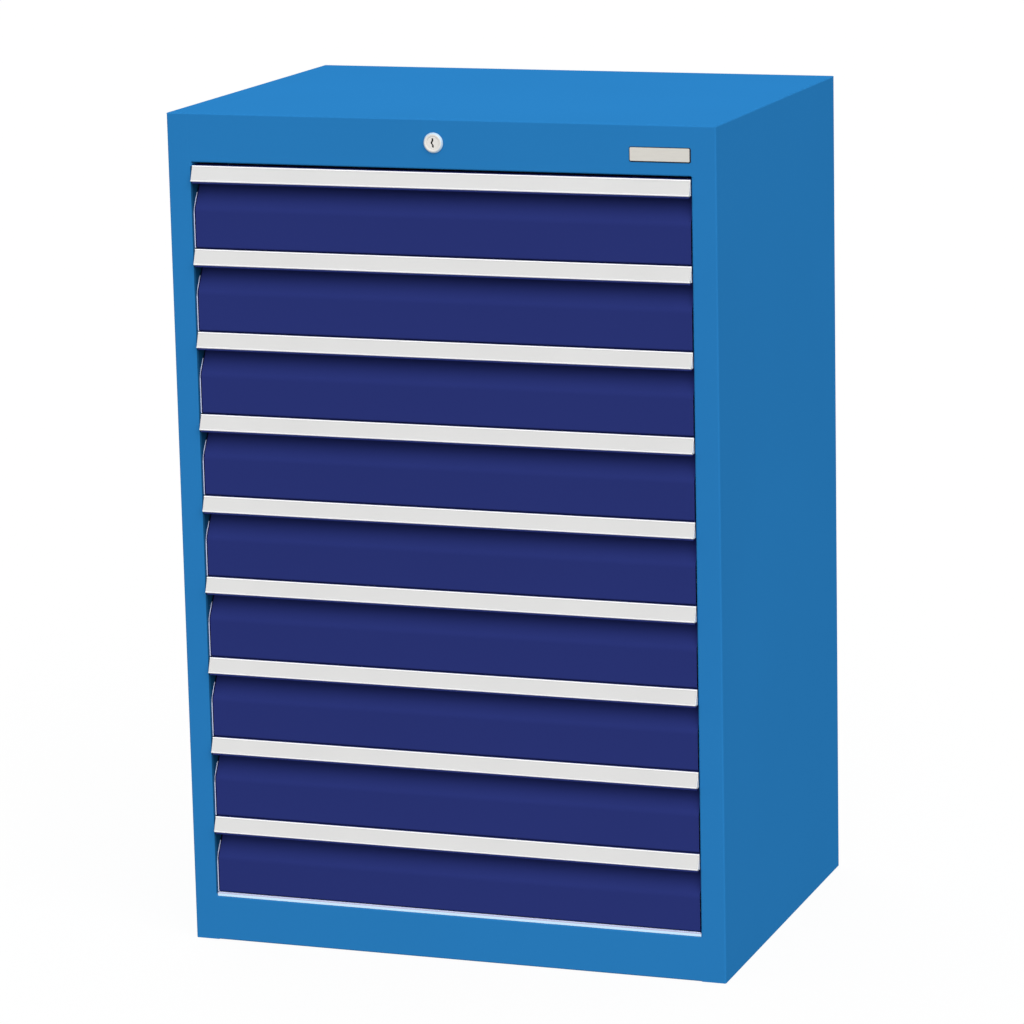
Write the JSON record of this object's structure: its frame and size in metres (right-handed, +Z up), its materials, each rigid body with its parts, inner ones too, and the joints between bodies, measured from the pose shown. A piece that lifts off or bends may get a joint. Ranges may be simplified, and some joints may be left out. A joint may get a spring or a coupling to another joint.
{
  "type": "drawer cabinet",
  "caption": "Floor-standing steel workshop drawer cabinet: equal drawers with full-width label-strip pulls and finger recesses, roller slides, and one lock that catches every drawer.",
  "frame": {"origin": "on the floor, under the middle of the whole outline, label strips included", "axes": "+X to the cabinet's right as seen from the front, +Y to the back, +Z up"},
  "size_m": [0.68, 0.5066, 1.019],
  "materials": {
    "housing_paint": "smooth light-blue powder coat, satin",
    "front_paint": "smooth dark-blue powder coat, satin",
    "pale_paint": "pale grey powder coat, satin",
    "label_strip": "pale grey satin extrusion with a matt label",
    "zinc_steel": "bright zinc plate, satin",
    "bright_steel": "drawn steel bar and turned rollers",
    "plate_silver": "brushed silver, bare",
    "nickel": "satin nickel plate"
  },
  "bodies": {
    "housing": {"left_side_panel": "housing_paint", "right_side_panel": "housing_paint", "top_panel": "housing_paint", "bottom_rail": "housing_paint", "rear_panel": "housing_paint", "floor_liner": "pale_paint", "base_ring": "zinc_steel", "slide_uprights": "zinc_steel", "cabinet_rails": "zinc_steel", "name_plate": "plate_silver", "lock_body": "nickel", "lock_fixings": "zinc_steel"},
    "lock_core": {"lock_plug": "nickel", "lock_shaft": "zinc_steel"},
    "locking_bar": {"locking_bar": "zinc_steel"},
    "drawer_1": {"drawer_1_box": "pale_paint", "drawer_1_front": "front_paint", "drawer_1_handle": "label_strip", "drawer_1_rails": "zinc_steel"},
    "carriage_1": {"drawer_1_carriage": "bright_steel"},
    "drawer_2": {"drawer_2_box": "pale_paint", "drawer_2_front": "front_paint", "drawer_2_handle": "label_strip", "drawer_2_rails": "zinc_steel"},
    "carriage_2": {"drawer_2_carriage": "bright_steel"},
    "drawer_3": {"drawer_3_box": "pale_paint", "drawer_3_front": "front_paint", "drawer_3_handle": "label_strip", "drawer_3_rails": "zinc_steel"},
    "carriage_3": {"drawer_3_carriage": "bright_steel"},
    "drawer_4": {"drawer_4_box": "pale_paint", "drawer_4_front": "front_paint", "drawer_4_handle": "label_strip", "drawer_4_rails": "zinc_steel"},
    "carriage_4": {"drawer_4_carriage": "bright_steel"},
    "drawer_5": {"drawer_5_box": "pale_paint", "drawer_5_front": "front_paint", "drawer_5_handle": "label_strip", "drawer_5_rails": "zinc_steel"},
    "carriage_5": {"drawer_5_carriage": "bright_steel"},
    "drawer_6": {"drawer_6_box": "pale_paint", "drawer_6_front": "front_paint", "drawer_6_handle": "label_strip", "drawer_6_rails": "zinc_steel"},
    "carriage_6": {"drawer_6_carriage": "bright_steel"},
    "drawer_7": {"drawer_7_box": "pale_paint", "drawer_7_front": "front_paint", "drawer_7_handle": "label_strip", "drawer_7_rails": "zinc_steel"},
    "carriage_7": {"drawer_7_carriage": "bright_steel"},
    "drawer_8": {"drawer_8_box": "pale_paint", "drawer_8_front": "front_paint", "drawer_8_handle": "label_strip", "drawer_8_rails": "zinc_steel"},
    "carriage_8": {"drawer_8_carriage": "bright_steel"},
    "drawer_9": {"drawer_9_box": "pale_paint", "drawer_9_front": "front_paint", "drawer_9_handle": "label_strip", "drawer_9_rails": "zinc_steel"},
    "carriage_9": {"drawer_9_carriage": "bright_steel"}
  },
  "joints": [
    {"name": "drawer_1_slide", "type": "slide", "parent": "housing", "child": "drawer_1", "axis": [0, -1, 0], "range_m": [0, 0.4]},
    {"name": "carriage_1_slide", "type": "slide", "parent": "housing", "child": "carriage_1", "axis": [0, -1, 0], "range_m": [0, 0.2]},
    {"name": "drawer_2_slide", "type": "slide", "parent": "housing", "child": "drawer_2", "axis": [0, -1, 0], "range_m": [0, 0.4]},
    {"name": "carriage_2_slide", "type": "slide", "parent": "housing", "child": "carriage_2", "axis": [0, -1, 0], "range_m": [0, 0.2]},
    {"name": "drawer_3_slide", "type": "slide", "parent": "housing", "child": "drawer_3", "axis": [0, -1, 0], "range_m": [0, 0.4]},
    {"name": "carriage_3_slide", "type": "slide", "parent": "housing", "child": "carriage_3", "axis": [0, -1, 0], "range_m": [0, 0.2]},
    {"name": "drawer_4_slide", "type": "slide", "parent": "housing", "child": "drawer_4", "axis": [0, -1, 0], "range_m": [0, 0.4]},
    {"name": "carriage_4_slide", "type": "slide", "parent": "housing", "child": "carriage_4", "axis": [0, -1, 0], "range_m": [0, 0.2]},
    {"name": "drawer_5_slide", "type": "slide", "parent": "housing", "child": "drawer_5", "axis": [0, -1, 0], "range_m": [0, 0.4]},
    {"name": "carriage_5_slide", "type": "slide", "parent": "housing", "child": "carriage_5", "axis": [0, -1, 0], "range_m": [0, 0.2]},
    {"name": "drawer_6_slide", "type": "slide", "parent": "housing", "child": "drawer_6", "axis": [0, -1, 0], "range_m": [0, 0.4]},
    {"name": "carriage_6_slide", "type": "slide", "parent": "housing", "child": "carriage_6", "axis": [0, -1, 0], "range_m": [0, 0.2]},
    {"name": "drawer_7_slide", "type": "slide", "parent": "housing", "child": "drawer_7", "axis": [0, -1, 0], "range_m": [0, 0.4]},
    {"name": "carriage_7_slide", "type": "slide", "parent": "housing", "child": "carriage_7", "axis": [0, -1, 0], "range_m": [0, 0.2]},
    {"name": "drawer_8_slide", "type": "slide", "parent": "housing", "child": "drawer_8", "axis": [0, -1, 0], "range_m": [0, 0.4]},
    {"name": "carriage_8_slide", "type": "slide", "parent": "housing", "child": "carriage_8", "axis": [0, -1, 0], "range_m": [0, 0.2]},
    {"name": "drawer_9_slide", "type": "slide", "parent": "housing", "child": "drawer_9", "axis": [0, -1, 0], "range_m": [0, 0.4]},
    {"name": "carriage_9_slide", "type": "slide", "parent": "housing", "child": "carriage_9", "axis": [0, -1, 0], "range_m": [0, 0.2]},
    {"name": "bar_slide", "type": "slide", "parent": "housing", "child": "locking_bar", "axis": [0, 0, 1], "range_m": [0, 0.01131]},
    {"name": "lock_turn", "type": "hinge", "parent": "housing", "child": "lock_core", "pos_m": [-0.003, -0.24674, 0.9915], "axis": [0, 1, 0], "range_deg": [0, 90.5]}
  ],
  "couplings": [
    {"joint": "carriage_1_slide", "follows": "drawer_1_slide", "ratio": 0.5},
    {"joint": "carriage_2_slide", "follows": "drawer_2_slide", "ratio": 0.5},
    {"joint": "carriage_3_slide", "follows": "drawer_3_slide", "ratio": 0.5},
    {"joint": "carriage_4_slide", "follows": "drawer_4_slide", "ratio": 0.5},
    {"joint": "carriage_5_slide", "follows": "drawer_5_slide", "ratio": 0.5},
    {"joint": "carriage_6_slide", "follows": "drawer_6_slide", "ratio": 0.5},
    {"joint": "carriage_7_slide", "follows": "drawer_7_slide", "ratio": 0.5},
    {"joint": "carriage_8_slide", "follows": "drawer_8_slide", "ratio": 0.5},
    {"joint": "carriage_9_slide", "follows": "drawer_9_slide", "ratio": 0.5},
    {"joint": "lock_turn", "follows": "bar_slide", "rad_per_m": 138.84}
  ]
}
